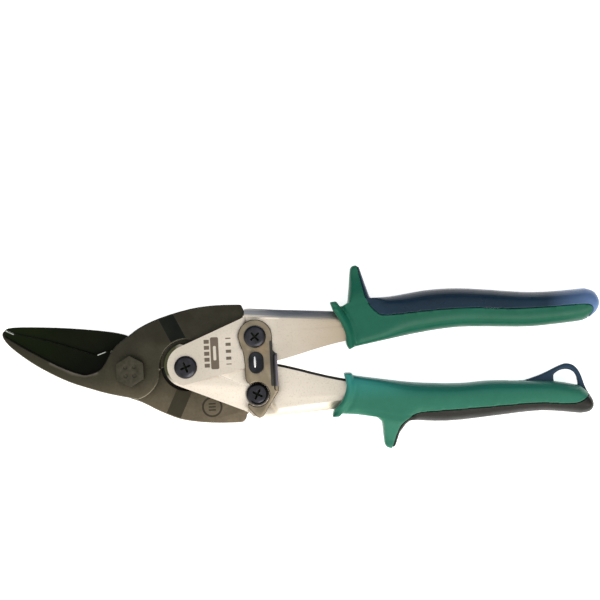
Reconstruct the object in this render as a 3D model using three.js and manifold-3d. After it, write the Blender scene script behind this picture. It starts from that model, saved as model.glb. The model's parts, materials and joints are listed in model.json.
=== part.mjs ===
// Compound-action aviation snips, closed and latched, lying on the table with the latch side up.
// Millimetres. X runs from the jaw tips to the grip ends, Y across the tool, Z up.
// The blade pivot stands on the origin, and Z in the functions below is counted from the plane
// in which the two blades slide on each other.
import * as THREE from 'three';
import { mergeVertices } from 'three/addons/utils/BufferGeometryUtils.js';
import ManifoldModule from 'manifold-3d';

const wasm = await ManifoldModule();
wasm.setup();

// ---- Driving dimensions ------------------------------------------------------------------
const CUTTING_PLANE = 9.5; // height of the cutting plane over the table

// Linkage: the handles turn on each other at one pivot and drive a blade tail each.
const BLADE_PIVOT = [0, 0];
const HANDLE_PIVOT = [23.2, 0.6];
const UPPER_LINK = [52.7, 12.1];
const LOWER_LINK = [52.7, -12.1];

// Forged blades
const BLADE_PLAY = 0.05; // half the gap between the two blades
const HUB_FACE = 5.0;
const HUB_RADIUS = 12.2;
const NOSE_CENTRE = [23.4, 1.2]; // middle of the round hollow in each hub for the handle noses
const NOSE_CLEARANCE = 11.1; // its radius where the noses turn
const LEDGE = 2.0; // height under which each hollow is narrower
const FRONT_LEDGE_RADIUS = 8.6;
const REAR_LEDGE_RADIUS = 10.4;
const TAIL_HIGH = 4.0;
const TAIL_LOW = -2.0;
const TAIL_EYE = 6.4;
const RAMP_DIRECTION = new THREE.Vector2(0.9, 0.44).normalize();
const RAMP_START = 20.7;
const RAMP_END = 27.0;
const POCKET_FLOOR = 2.0;

// Pressed steel handle channels
const SHEET = 1.8;
const OUTER_CHEEK = 4.2; // inner face of the cheek that lies outside
const INNER_CHEEK = 2.2; // inner face of the cheek that lies inside
const TANG_END = 150;
const CHEEK_STEP = 0.9; // how much further the outer cheek reaches along the inner edge

// Grips
const GRIP_HALF = 9.5;
const HORN_HALF = 5.6;
const LOOP_HALF = 2.6;
const MOULD_GAP = 0.15;
const TANG_GAP = 0.35;

// Fasteners
const BOLT_SHANK = 4.0;
const BOLT_HEAD_FLATS = 11.5;
const BOLT_NUT_FLATS = 13;
const SCREW_SHANK = 2.5;
const NUT_FLATS = 8;
const HEAD_HEIGHT = 2.0;
const NUT_HEIGHT = 2.5;
const SEAT = 0.15; // gap between a fastener and the face that it sits on
const RUNNING = 0.2; // radial gap of a turning fit
const OPEN_PIVOT = 0.45; // radial gap at the upper link, where the modelled linkage is open
const LINK_BUSH = 4.0;
const PIVOT_BUSH = 3.3;

// Latch
const LATCH_LOW = 6.7;
const LATCH_HIGH = 8.2;

// Return spring
const SPRING_HOOK = [33.4, 2.6]; // where a spring leg enters a cheek
const WIRE = 0.7;
const COIL_RADIUS = 4.5;
const COIL_TURNS = 1.5;
const COIL_HEIGHT = 2.4;

// ---- Shape helpers -------------------------------------------------------------------------
const radians = THREE.MathUtils.degToRad;

// Points along an arc, clockwise when the second angle is the smaller one.
function arc([x, y], radius, from, to, step = 10) {
  const count = Math.max(2, Math.ceil(Math.abs(to - from) / step));
  return Array.from({ length: count + 1 }, (_, i) => {
    const angle = radians(from + ((to - from) * i) / count);
    return [x + radius * Math.cos(angle), y + radius * Math.sin(angle)];
  });
}

// The same point on a piece that is turned over.
function turned([x, y]) {
  return [x, -y];
}

// A smooth curve through the given points.
function smooth(points, perSpan = 3) {
  const curve = new THREE.SplineCurve(points.map((p) => new THREE.Vector2(...p)));
  return curve.getPoints(perSpan * (points.length - 1)).map((p) => [p.x, p.y]);
}

// An open line moved sideways, to its left for a positive distance.
function shifted(points, distance) {
  return points.map(([x, y], i) => {
    const before = points[Math.max(i - 1, 0)];
    const after = points[Math.min(i + 1, points.length - 1)];
    const along = new THREE.Vector2(after[0] - before[0], after[1] - before[1]).normalize();
    return [x - along.y * distance, y + along.x * distance];
  });
}

// One closed outline from stretches of points, without repeated points where they meet.
function outline(...stretches) {
  const points = stretches.flat();
  const apart = (a, b) => Math.hypot(a[0] - b[0], a[1] - b[1]) > 0.02;
  const kept = points.filter((p, i) => apart(p, points[(i + 1) % points.length]));
  return new THREE.Shape(kept.map((p) => new THREE.Vector2(...p)));
}

function toSolid(geometry) {
  geometry.deleteAttribute('normal');
  geometry.deleteAttribute('uv');
  const merged = mergeVertices(geometry, 1e-4);
  const vertProperties = Float32Array.from(merged.attributes.position.array);
  const triVerts = Uint32Array.from(merged.index.array);
  return new wasm.Manifold(new wasm.Mesh({ numProp: 3, vertProperties, triVerts }));
}

function toGeometry(solid) {
  const mesh = solid.getMesh();
  const geometry = new THREE.BufferGeometry();
  geometry.setAttribute('position', new THREE.BufferAttribute(mesh.vertProperties, 3));
  geometry.setIndex(new THREE.BufferAttribute(mesh.triVerts, 1));
  geometry.computeVertexNormals();
  return geometry;
}

function prism(shape, low, high) {
  const geometry = new THREE.ExtrudeGeometry(shape, { depth: high - low, bevelEnabled: false });
  return toSolid(geometry.translate(0, 0, low));
}

// A prism with rounded edges, which keeps the outline as its widest section.
function cushion(shape, half, edge) {
  const options = {
    depth: 2 * (half - edge),
    bevelSize: edge * 0.8,
    bevelOffset: -edge * 0.8,
    bevelThickness: edge,
    bevelSegments: 3,
  };
  return toSolid(new THREE.ExtrudeGeometry(shape, options).translate(0, 0, edge - half));
}

function cylinder([x, y], radius, low, high, sides = 28) {
  const geometry = new THREE.CylinderGeometry(radius, radius, high - low, sides);
  return toSolid(geometry.rotateX(Math.PI / 2).translate(x, y, (low + high) / 2));
}

function tube(centre, outer, inner, low, high) {
  return cylinder(centre, outer, low, high).subtract(cylinder(centre, inner, low - 1, high + 1));
}

// A hexagonal prism with corners on the Y axis.
function hexagon([x, y], flats, low, high) {
  const radius = flats / Math.sqrt(3);
  const geometry = new THREE.CylinderGeometry(radius, radius, high - low, 6);
  return toSolid(geometry.rotateX(Math.PI / 2).translate(x, y, (low + high) / 2));
}

// ---- Materials ------------------------------------------------------------------------------
function material(color, roughness, metalness) {
  return new THREE.MeshStandardMaterial({ color, roughness, metalness });
}

const forged = material(0x3c3a36, 0.45, 0.8);
const bright = material(0xd6d0c4, 0.35, 0.9);
const blackened = material(0x33343a, 0.4, 0.8);
const zinc = material(0xb4b6b8, 0.4, 0.9);
const springSteel = material(0x6c6e72, 0.35, 0.9);
const latchSteel = material(0x5f5c55, 0.45, 0.8);
const green = material(0x1f8060, 0.55, 0);
const darkBlue = material(0x2c3444, 0.6, 0);
const darkGrey = material(0x3e3d3c, 0.6, 0);

const snips = new THREE.Group();
snips.position.z = CUTTING_PLANE;

function addPart(name, solid, finish) {
  const mesh = new THREE.Mesh(toGeometry(solid), finish);
  mesh.name = name;
  snips.add(mesh);
  return mesh;
}

// ---- Blades ---------------------------------------------------------------------------------
// Both forgings are drawn the same way up, with the jaw at the left and the tail at the upper
// right, and with Z from the cutting plane to the hub's outer face.

// The side view that turns a flat blank into hub level, ramp and tail level.
function forgingSideView() {
  const reach = 90;
  const shape = new THREE.Shape([
    new THREE.Vector2(-reach, BLADE_PLAY),
    new THREE.Vector2(RAMP_START, BLADE_PLAY),
    new THREE.Vector2(RAMP_END, TAIL_LOW),
    new THREE.Vector2(reach, TAIL_LOW),
    new THREE.Vector2(reach, TAIL_HIGH),
    new THREE.Vector2(RAMP_END, TAIL_HIGH),
    new THREE.Vector2(RAMP_START, HUB_FACE),
    new THREE.Vector2(-reach, HUB_FACE),
  ]);
  const geometry = new THREE.ExtrudeGeometry(shape, { depth: 2 * reach, bevelEnabled: false });
  geometry.translate(0, 0, -reach).rotateX(Math.PI / 2).rotateZ(RAMP_DIRECTION.angle());
  return toSolid(geometry);
}

function forging(design) {
  const { jawBack, hubFrom, noseCentre, ledgeRadius, tip, tailBack, edge, pocketRim } = design;
  const hub = arc(BLADE_PIVOT, HUB_RADIUS, hubFrom, 0, 8);
  const hollow = arc(noseCentre, ledgeRadius, 180, 66, 8);
  const eye = arc(UPPER_LINK, TAIL_EYE, -100, 95);
  const blank = prism(
    outline(smooth(jawBack), hub, hollow, eye, tip, smooth(tailBack), edge[0], smooth(edge[1])),
    TAIL_LOW - 1,
    HUB_FACE + 1,
  );
  const pocket = prism(outline(smooth(pocketRim), design.pocketOutside), POCKET_FLOOR, HUB_FACE + 1);
  return blank
    .intersect(forgingSideView())
    .subtract(pocket)
    .subtract(cylinder(noseCentre, NOSE_CLEARANCE, LEDGE, HUB_FACE + 1, 48))
    .subtract(cylinder(BLADE_PIVOT, BOLT_SHANK + RUNNING, -9, 9))
    .subtract(cylinder(UPPER_LINK, design.eyeHole, -9, 9));
}

// The blade in front: a deep, swept-up lower jaw and the upper tail.
function lowerBlade() {
  return forging({
    jawBack: [
      [-51.5, 20], [-53.2, 17.6], [-50.3, 12.8], [-42.1, 6], [-33.9, 0.8], [-25.7, -3.4],
      [-17.6, -6.4], [-9.3, -9.1], [2.5, -11.9],
    ],
    hubFrom: -78,
    noseCentre: NOSE_CENTRE,
    ledgeRadius: FRONT_LEDGE_RADIUS,
    tip: [[49.3, 20.6], [48.6, 22], [47.1, 25.5]],
    tailBack: [
      [46.6, 25.7], [36.6, 25.9], [26, 24.9], [13.3, 21.7], [4.7, 18.1], [-0.6, 14.5],
      [-4.9, 11.5], [-7.6, 8.8],
    ],
    edge: [
      [[-10.1, 8.9], [-13.9, 7.7]],
      [[-14.4, 7.4], [-21, 9.8], [-34.2, 14.3], [-48.3, 18.1], [-51.5, 20]],
    ],
    pocketRim: [
      [-52, 16.8], [-41.2, 10], [-29.7, 3.5], [-21.5, 0], [-17.3, -0.4], [-12.1, 1.8],
      [-7.8, 8.6],
    ],
    pocketOutside: [[-9, 14], [-54, 30]],
    eyeHole: LINK_BUSH + OPEN_PIVOT,
  });
}

// The blade behind: a slim upper jaw and the lower tail. Drawn like the other one, then turned over.
function upperBlade() {
  return forging({
    jawBack: [
      [-52.8, -18.4], [-50.8, -20.4], [-41.5, -20.4], [-24.7, -19.1], [-8, -16.8], [0, -14.5],
      [6.1, -10.6],
    ],
    hubFrom: -60,
    noseCentre: turned(NOSE_CENTRE),
    ledgeRadius: REAR_LEDGE_RADIUS,
    tip: [[48.9, 19.6], [47.8, 20.6], [47.5, 22.2]],
    tailBack: [
      [46.4, 23.4], [44.4, 23.7], [36, 23.5], [27.9, 22.7], [19.6, 21], [11.4, 17.5], [4, 13.4],
      [-3.5, 10.4], [-8, 7.6], [-10.8, 3], [-11.4, -1],
    ],
    edge: [
      [[-11.8, -3.6]],
      [[-14.4, -4.9], [-21, -7.4], [-34.2, -12], [-48.3, -16.2], [-52.8, -18.4]],
    ],
    pocketRim: [
      [-50.5, -18.4], [-41, -16.6], [-26, -15.2], [-15.5, -12.6], [-11.2, -8], [-11, -3],
    ],
    pocketOutside: [[-13, 2], [-54, -10]],
    eyeHole: LINK_BUSH + RUNNING,
  });
}

// ---- Handle channels --------------------------------------------------------------------------
// Each channel is drawn as the upper handle, and the lower one is then turned over, so that each
// has one cheek outside and one inside at the handle pivot. The spine is the folded outer edge,
// from behind the blade tail to the end of the tang, and the inner edge runs back to the nose.
const UPPER_CHANNEL = {
  pivot: HANDLE_PIVOT,
  spine: [[51.1, 23.8], [65, 22.6], [86, 21], [98, 19], [112, 16.9], [130, 17.2], [TANG_END, 16.8]],
  innerEdge: [[TANG_END, 13.6], [130, 14], [112, 11.6], [96, 9.4], [82, 6.7], [64.5, 2.2], [47.9, -1]],
  corner: [[46.9, 19.7], [49.3, 21], [49.6, 23.8]],
  outerNose: { centre: [24, 1.2], radius: 8.5 },
  innerNose: { centre: [23.4, 0.9], radius: 8.9 },
};

const LOWER_CHANNEL = {
  pivot: turned(HANDLE_PIVOT),
  spine: [[51.1, 22.2], [65, 21.3], [86, 19.8], [98, 18.4], [112, 16.9], [130, 17.2], [TANG_END, 16.8]],
  innerEdge: [[TANG_END, 13.6], [130, 14], [112, 11.5], [96, 8.9], [82, 5.8], [64.5, 0.7], [47.9, -3]],
  corner: [[46.9, 18.7], [49, 19.8]],
  outerNose: { centre: turned(NOSE_CENTRE), radius: 10.6 },
  innerNose: { centre: [23.5, -1.4], radius: 9.3 },
};

function cheek({ spine, innerEdge, corner }, nose, step) {
  const front = arc(nose.centre, nose.radius, 111, 255, 8);
  const inner = shifted(smooth(innerEdge), -step);
  return outline(inner, front.reverse(), corner, [spine[0]], smooth(spine));
}

function channel(design) {
  const outerCheek = cheek(design, design.outerNose, 0);
  const innerCheek = cheek(design, design.innerNose, CHEEK_STEP);
  const spine = smooth(design.spine);
  const web = outline(spine, shifted(spine, -SHEET).reverse());
  return prism(outerCheek, OUTER_CHEEK, OUTER_CHEEK + SHEET)
    .add(prism(innerCheek, -INNER_CHEEK - SHEET, -INNER_CHEEK))
    .add(prism(web, -INNER_CHEEK - SHEET, OUTER_CHEEK + SHEET))
    .subtract(cylinder(design.pivot, PIVOT_BUSH + RUNNING, -9, 9))
    .subtract(cylinder(UPPER_LINK, SCREW_SHANK + RUNNING, -9, 9))
    .subtract(cylinder(SPRING_HOOK, WIRE + RUNNING, -9, 0, 16));
}

// ---- Grips --------------------------------------------------------------------------------------
// The hollow that a channel's tang stands in.
function tangPocket({ spine, innerEdge }) {
  const outer = shifted(smooth(spine), TANG_GAP);
  const inner = shifted(smooth(innerEdge), TANG_GAP);
  const end = [outer, inner].map((line) => line.find(([x]) => x > TANG_END - 1)[1]);
  const corners = [[TANG_END + TANG_GAP, end[0]], [TANG_END + TANG_GAP, end[1]]];
  const low = -INNER_CHEEK - SHEET - TANG_GAP;
  const high = OUTER_CHEEK + SHEET + TANG_GAP;
  return prism(outline(outer, corners, inner), low, high);
}

const UPPER_SEAM = [
  [96.6, 41], [97.4, 36], [98.4, 31], [100.3, 24.4], [104, 19.8], [108.5, 18.4], [124.6, 19.4],
  [142.8, 19.9], [162, 18.5], [180, 18.8], [190, 19.2], [193.7, 18.4], [194.2, 16], [193, 14],
  [190.3, 12],
];

function upperGripBody() {
  const top = [
    [191.7, 25.7], [178, 25], [166, 25.3], [152.7, 26.8], [138, 28.2], [125, 28], [110, 26.1],
    [100, 25.7], [92.3, 24.2],
  ];
  const bottom = [
    [93, 5.6], [108, 8.2], [124.2, 10.7], [138, 11.9], [152, 11.4], [168, 10.7], [184, 11.6],
    [190.8, 12.3],
  ];
  const end = [[190.8, 12.3], [195.8, 15.5], [197.2, 20], [195.6, 24.1], [191.7, 25.7]];
  const front = [[89.3, 22.6], [91.5, 17], [92.6, 10.5]];
  return cushion(outline(smooth(bottom), smooth(end), smooth(top), front), GRIP_HALF, 3);
}

function upperHorn() {
  const tip = arc([95.8, 37.8], 2.1, 10, 172, 20);
  const right = [[104.5, 21], [101.3, 26.5], [99.6, 32]];
  return cushion(outline(right, tip, [[92.9, 30.4], [92, 23], [96, 19]]), HORN_HALF, 1.6);
}

function upperCollar() {
  const front = [[84.7, 24.8], [86, 21.2], [87.9, 17.8], [89.7, 14], [90.7, 10.8], [90.7, 7.5], [91.8, 4.7]];
  const back = [[94.2, 5.8], [94, 11], [93, 15], [91.2, 18.8], [89.2, 22], [87.3, 25.2]];
  return prism(outline(smooth(front), smooth(back)), -GRIP_HALF, GRIP_HALF);
}

function lowerGripBody() {
  const top = [
    [187.8, -14.9], [177, -12.6], [160, -11.5], [148.4, -11.1], [137, -11.6], [119, -10.4],
    [101.2, -7.7], [93, -6.2],
  ];
  const end = [[187.6, -26.6], [191.6, -25.8], [192.9, -23], [191.7, -18.8], [187.8, -14.9]];
  const bottom = [
    [88, -22], [93, -22.5], [100.4, -23.5], [116.3, -26], [132, -27.2], [149.6, -26.1],
    [167, -24.8], [176, -25.1], [187.6, -26.6],
  ];
  const front = [[90.4, -9], [90.2, -14], [88.2, -18.5]];
  return cushion(outline(smooth(bottom), smooth(end), smooth(top), front), GRIP_HALF, 3);
}

function lowerHorn() {
  const tip = arc([107.3, -34.9], 2.5, 186, 350, 20);
  const right = [[111.3, -31], [114.2, -27.3], [119, -24]];
  return cushion(outline(tip, right, [[106, -19], [100, -22], [104.3, -26]]), HORN_HALF, 1.6);
}

function lowerCollar() {
  const front = [[89, -5], [90, -9.2], [89.4, -13], [87.4, -17], [84.6, -20.1], [83.4, -22.9]];
  const back = [[86.3, -23.1], [89.6, -19.4], [92, -16], [93, -12], [92.6, -5.1]];
  return prism(outline(smooth(back), smooth(front)), -GRIP_HALF, GRIP_HALF);
}

const LOWER_SEAM = [
  [107.4, -39], [109, -34.6], [110.5, -30.6], [112.8, -27], [118.4, -23.6], [128.4, -22.6],
  [149.8, -21.9], [169, -21.2], [180.3, -22], [186, -21.8], [189.6, -20], [190.8, -17.5], [190.8, -13],
];

// The hanging eye: a wedge that rises out of the grip and a strand that comes down to its end.
function hangLoop() {
  const outside = [
    [160.2, -12.9], [171.3, -9.7], [179.2, -6.3], [182.8, -5.4], [186, -6.7], [188.2, -9.9],
    [189.8, -15], [191.6, -19],
  ];
  const inside = [[189, -19.5], [187.2, -14.5], [186.4, -10.6], [184.9, -8.7], [182.2, -7.8], [179.4, -8.2]];
  const root = [[176.9, -9.8], [176.9, -14.1], [168, -13.8]];
  const shape = outline(smooth(inside.reverse()), smooth(outside.reverse()), root.reverse());
  return prism(shape, -LOOP_HALF, LOOP_HALF);
}

// The two slots in the lower shell that the eye's wedge and strand stand in.
function loopSlots() {
  const half = LOOP_HALF + MOULD_GAP;
  const wedge = outline([[158.8, -10], [158.8, -13.4], [168, -14.1], [177.1, -14.4], [177.1, -8]]);
  const strand = outline([[186.8, -13], [187.1, -16], [188.7, -20.6], [193, -20.6], [193, -13]]);
  return prism(wedge, -half, half).add(prism(strand, -half, half));
}

// Everything on the outer side of a seam, moved outwards by the given distance.
function seamRegion(seam, move, side) {
  const far = side > 0 ? [[190, -5], [230, -5], [230, 60], [99, 60]] : [[230, 0], [230, -60], [110, -60]];
  return prism(outline(shifted(smooth(seam), move * side), far), -20, 20);
}

function addUpperGrip() {
  const whole = upperGripBody().add(upperHorn()).add(upperCollar()).subtract(tangPocket(UPPER_CHANNEL));
  const shell = whole.subtract(seamRegion(UPPER_SEAM, -MOULD_GAP, 1));
  const overlay = whole.intersect(seamRegion(UPPER_SEAM, MOULD_GAP, 1));
  addPart('upper_grip_shell', shell, green);
  addPart('upper_grip_overlay', overlay, darkBlue);
}

function addLowerGrip() {
  const pocket = tangPocket(LOWER_CHANNEL).rotate([180, 0, 0]);
  const whole = lowerGripBody().add(lowerHorn()).add(lowerCollar()).subtract(pocket);
  const shell = whole.subtract(seamRegion(LOWER_SEAM, -MOULD_GAP, -1)).subtract(loopSlots());
  const overlay = whole.intersect(seamRegion(LOWER_SEAM, MOULD_GAP, -1)).add(hangLoop());
  addPart('lower_grip_shell', shell, green);
  addPart('lower_grip_overlay', overlay, darkGrey);
}

// ---- Fasteners ------------------------------------------------------------------------------------
// A round-headed screw with a cross recess.
function screw(centre, headRadius, seat, end) {
  const top = seat + HEAD_HEIGHT;
  const rim = [headRadius, seat + 1.1];
  const crown = [headRadius - 1, top - 0.2];
  const profile = [[0, seat], [headRadius, seat], rim, crown, [0, top]];
  const lathe = new THREE.LatheGeometry(profile.map((p) => new THREE.Vector2(...p)), 32);
  const head = toSolid(lathe.rotateX(Math.PI / 2).translate(centre[0], centre[1], 0));
  const slot = (length, width) => {
    const box = new THREE.BoxGeometry(length, width, 2.4);
    return toSolid(box.rotateZ(radians(45)).translate(centre[0], centre[1], top));
  };
  return head
    .add(cylinder(centre, SCREW_SHANK, end, seat + 0.5))
    .subtract(slot(4.4, 0.9))
    .subtract(slot(0.9, 4.4));
}

function nut(centre, flats, bore, low, high) {
  return hexagon(centre, flats, low, high).subtract(cylinder(centre, bore, low - 1, high + 1));
}

function bladeBolt() {
  const seat = HUB_FACE + SEAT;
  const top = seat + 3.9;
  const head = hexagon(BLADE_PIVOT, BOLT_HEAD_FLATS, seat, top);
  const dimples = [45, 135, 225, 315].map((angle) => {
    const place = [2.6 * Math.cos(radians(angle)), 2.6 * Math.sin(radians(angle))];
    return cylinder(place, 0.8, top - 0.4, top + 1, 12);
  });
  const bolt = head.add(cylinder(BLADE_PIVOT, BOLT_SHANK, -CUTTING_PLANE, seat + 1, 32));
  return dimples.reduce((solid, dimple) => solid.subtract(dimple), bolt);
}

function addFasteners() {
  const outerFace = OUTER_CHEEK + SHEET;
  const innerFace = INNER_CHEEK + SHEET;
  const bore = SCREW_SHANK + RUNNING;
  const nutLow = (face) => -face - SEAT - NUT_HEIGHT;
  addPart('blade_pivot_bolt', bladeBolt(), forged);
  const bladeNut = nut(BLADE_PIVOT, BOLT_NUT_FLATS, BOLT_SHANK + RUNNING, -8.9, -HUB_FACE - SEAT);
  addPart('blade_pivot_nut', bladeNut, blackened);
  addPart('handle_pivot_screw', screw(HANDLE_PIVOT, 4.8, outerFace + SEAT, -9), blackened);
  addPart('handle_pivot_bush', tube(HANDLE_PIVOT, PIVOT_BUSH, bore, -outerFace, outerFace), zinc);
  addPart('handle_pivot_nut', nut(HANDLE_PIVOT, NUT_FLATS, bore, nutLow(outerFace), -outerFace - SEAT), zinc);
  addPart('upper_link_screw', screw(UPPER_LINK, 4.65, LATCH_HIGH + SEAT, -7), blackened);
  const upperBush = tube(UPPER_LINK, LINK_BUSH, bore, SEAT - INNER_CHEEK, OUTER_CHEEK - SEAT);
  addPart('upper_link_bush', upperBush, zinc);
  addPart('upper_link_nut', nut(UPPER_LINK, NUT_FLATS, bore, nutLow(innerFace), -innerFace - SEAT), zinc);
  addPart('lower_link_screw', screw(LOWER_LINK, 4.75, innerFace + SEAT, -9), blackened);
  const lowerBush = tube(LOWER_LINK, LINK_BUSH, bore, SEAT - OUTER_CHEEK, INNER_CHEEK - SEAT);
  addPart('lower_link_bush', lowerBush, zinc);
  addPart('lower_link_nut', nut(LOWER_LINK, NUT_FLATS, bore, nutLow(outerFace), -outerFace - SEAT), zinc);
}

// ---- Latch ------------------------------------------------------------------------------------------
const THUMB_BUTTON = [52.8, 1.2];

function latchPlate() {
  const head = arc(UPPER_LINK, 7.1, 2, 178, 12);
  const left = smooth([[45.6, 12.3], [46.3, 9.1], [47.5, 5.4], [48, 0], [48.1, -5.8], [49.6, -7.8]]);
  const notch = arc(LOWER_LINK, 5.1, 122, -128, 12);
  const hook = [[48.4, -15.6], [48.8, -17.5], [51.6, -21], [53.2, -22.1], [54.9, -21.1], [57.6, -17.1]];
  const right = [[61.2, -11.6], [61.6, -10.8], [61.6, 4.4], [60.6, 5.2], [59.8, 6]];
  const plate = prism(outline(head, left, notch, hook, right), LATCH_LOW, LATCH_HIGH);
  const lip = outline([[60.1, -10.6], [61.6, -10.6], [61.6, 4.2], [60.1, 4.2]]);
  return plate
    .add(prism(lip, LATCH_LOW, LATCH_HIGH + 2.4))
    .subtract(cylinder(UPPER_LINK, SCREW_SHANK + RUNNING, 0, 12))
    .subtract(cylinder(THUMB_BUTTON, 1.7, 0, 12, 16));
}

function thumbButton() {
  const [x, y] = THUMB_BUTTON;
  const half = 1.45;
  const radius = 3.15;
  const oblong = outline(arc([x, y + half], radius, 0, 180, 15), arc([x, y - half], radius, 180, 360, 15));
  const cap = prism(oblong, LATCH_HIGH + SEAT, LATCH_HIGH + 2.2);
  return cap.add(cylinder(THUMB_BUTTON, 1.5, LATCH_LOW, LATCH_HIGH + 1, 16));
}

function addLatch() {
  addPart('latch_plate', latchPlate(), latchSteel);
  addPart('latch_thumb_button', thumbButton(), blackened);
  const low = OUTER_CHEEK + SHEET + SEAT;
  const washer = tube(UPPER_LINK, 5.2, SCREW_SHANK + RUNNING, low, LATCH_LOW - SEAT);
  addPart('latch_spring_washer', washer, springSteel);
}

// ---- Return spring ------------------------------------------------------------------------------------
// A torsion spring round the handle pivot. One leg hooks into the lower handle's inner cheek and the
// other into the upper handle's, on the two sides of the middle line.
function returnSpring() {
  const [x, y] = HANDLE_PIVOT;
  const [hookX, hookY] = SPRING_HOOK;
  const steps = 12 * COIL_TURNS;
  const high = COIL_HEIGHT / 2;
  const hook = (side) => [
    new THREE.Vector3(hookX, side * hookY, -side * (INNER_CHEEK + SHEET - 0.2)),
    new THREE.Vector3(hookX, side * hookY, -side * (high + 1)),
    new THREE.Vector3(hookX - 0.8, side * (hookY + 0.1), -side * high),
    new THREE.Vector3(hookX - 4, side * (hookY + 0.7), -side * high),
  ];
  const coil = Array.from({ length: steps + 1 }, (_, i) => {
    const angle = radians(-90 - (360 * COIL_TURNS * i) / steps);
    const z = high - (COIL_HEIGHT * i) / steps;
    return new THREE.Vector3(x + COIL_RADIUS * Math.cos(angle), y + COIL_RADIUS * Math.sin(angle), z);
  });
  const path = new THREE.CatmullRomCurve3([...hook(-1), ...coil, ...hook(1).reverse()]);
  const section = new THREE.Shape(arc([0, 0], WIRE, 0, 315, 45).map((p) => new THREE.Vector2(...p)));
  const options = { steps: 84, bevelEnabled: false, extrudePath: path };
  return toSolid(new THREE.ExtrudeGeometry(section, options));
}

// ---- Assembly ---------------------------------------------------------------------------------------------
addPart('lower_blade', lowerBlade(), forged);
addPart('upper_blade', upperBlade(), forged).rotation.x = Math.PI;
addPart('upper_handle_channel', channel(UPPER_CHANNEL), bright);
addPart('lower_handle_channel', channel(LOWER_CHANNEL), bright).rotation.x = Math.PI;
addUpperGrip();
addLowerGrip();
addFasteners();
addLatch();
addPart('return_spring', returnSpring(), springSteel);

export default snips;
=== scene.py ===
import json
import math

import bmesh
import bpy
import numpy as np
from mathutils import Matrix, Vector
from mathutils.bvhtree import BVHTree
from mathutils.geometry import intersect_point_line


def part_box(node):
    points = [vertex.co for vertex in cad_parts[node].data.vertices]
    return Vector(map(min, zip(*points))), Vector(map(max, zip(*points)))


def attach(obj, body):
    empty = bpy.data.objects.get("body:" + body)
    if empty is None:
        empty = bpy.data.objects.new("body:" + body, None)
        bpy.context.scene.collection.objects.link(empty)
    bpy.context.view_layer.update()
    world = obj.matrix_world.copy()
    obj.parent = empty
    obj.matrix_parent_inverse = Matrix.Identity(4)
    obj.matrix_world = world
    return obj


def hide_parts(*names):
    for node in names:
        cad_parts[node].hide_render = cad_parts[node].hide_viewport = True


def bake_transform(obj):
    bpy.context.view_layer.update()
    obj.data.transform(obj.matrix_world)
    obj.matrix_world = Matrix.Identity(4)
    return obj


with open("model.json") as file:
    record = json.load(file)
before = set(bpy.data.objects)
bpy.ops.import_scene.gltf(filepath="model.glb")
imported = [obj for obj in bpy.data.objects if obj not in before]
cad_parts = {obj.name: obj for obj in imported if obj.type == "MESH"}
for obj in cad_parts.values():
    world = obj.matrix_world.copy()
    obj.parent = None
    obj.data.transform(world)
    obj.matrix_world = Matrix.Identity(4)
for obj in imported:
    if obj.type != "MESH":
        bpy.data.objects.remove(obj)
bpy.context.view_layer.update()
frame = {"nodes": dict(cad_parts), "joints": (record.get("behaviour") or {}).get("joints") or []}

MM = 0.001

# The bodies that pieces ride on.
FRONT_BLADE = "lower_blade_set"
REAR_BLADE = "upper_blade_set"
LOWER_HANDLE = "lower_handle"
UPPER_HANDLE = "upper_handle"
LATCH = "latch"

JOINTS = {joint["name"]: Vector(joint["pos_m"]) for joint in frame["joints"]}
BLADE_PIVOT = JOINTS["blade_pivot"]
HANDLE_PIVOT = JOINTS["handle_pivot"]
LOWER_LINK = JOINTS["lower_link_pivot"]
# The latch turns about the upper link's screw.
UPPER_LINK = JOINTS["latch_pivot"]


# ---- Camera, light and floor --------------------------------------------------------------------

# The camera looks straight down at the tool's plan, so its centre is a place on that plan.
VIEW_WIDTH = 252 * MM
VIEW_CENTRE = (72.3 * MM, 26.4 * MM)
VIEW_ROLL = -2.75
LENS = 170
SENSOR = 36
NEAREST = 0.01
FARTHEST = 10

KEY_PLACE = (0.6, -1.1, 1.3)
KEY_TARGET = (0.07, 0, 0)
KEY_SIZE = 1.2
KEY_POWER = 12
KEY_COLOUR = (1, 0.97, 0.93)

# The sky's colours overhead, low on the near side and low on the far side.
ZENITH = (1.0, 1.0, 0.99, 1)
NEAR_HORIZON = (1.5, 1.4, 1.25, 1)
FAR_HORIZON = (0.05, 0.075, 0.12, 1)

FLOOR_HALF = 4
FLOOR_LEVEL = -0.3 * MM
FLOOR_WHITE = (0.95, 0.95, 0.95, 1)
FLOOR_ROUGHNESS = 0.95
FLOOR_GLOW = 0.75

# Sockets of a Mix node that mixes colours.
MIX_FACTOR, MIX_FIRST, MIX_SECOND, MIX_RESULT = 0, 6, 7, 2


def make_camera():
    data = bpy.data.cameras.new("camera")
    data.lens = LENS
    data.sensor_width = SENSOR
    camera = bpy.data.objects.new("camera", data)
    distance = VIEW_WIDTH / SENSOR * LENS
    camera.location = (*VIEW_CENTRE, BLADE_PIVOT.z + distance)
    camera.rotation_euler = (0, 0, math.radians(VIEW_ROLL))
    data.clip_start = NEAREST
    data.clip_end = FARTHEST
    bpy.context.collection.objects.link(camera)
    bpy.context.scene.camera = camera


def make_key_light():
    data = bpy.data.lights.new("key", "AREA")
    data.shape = "DISK"
    data.size = KEY_SIZE
    data.energy = KEY_POWER
    data.color = KEY_COLOUR
    light = bpy.data.objects.new("key", data)
    light.location = KEY_PLACE
    aim = Vector(KEY_TARGET) - Vector(KEY_PLACE)
    light.rotation_euler = aim.to_track_quat("-Z", "Y").to_euler()
    bpy.context.collection.objects.link(light)


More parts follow.
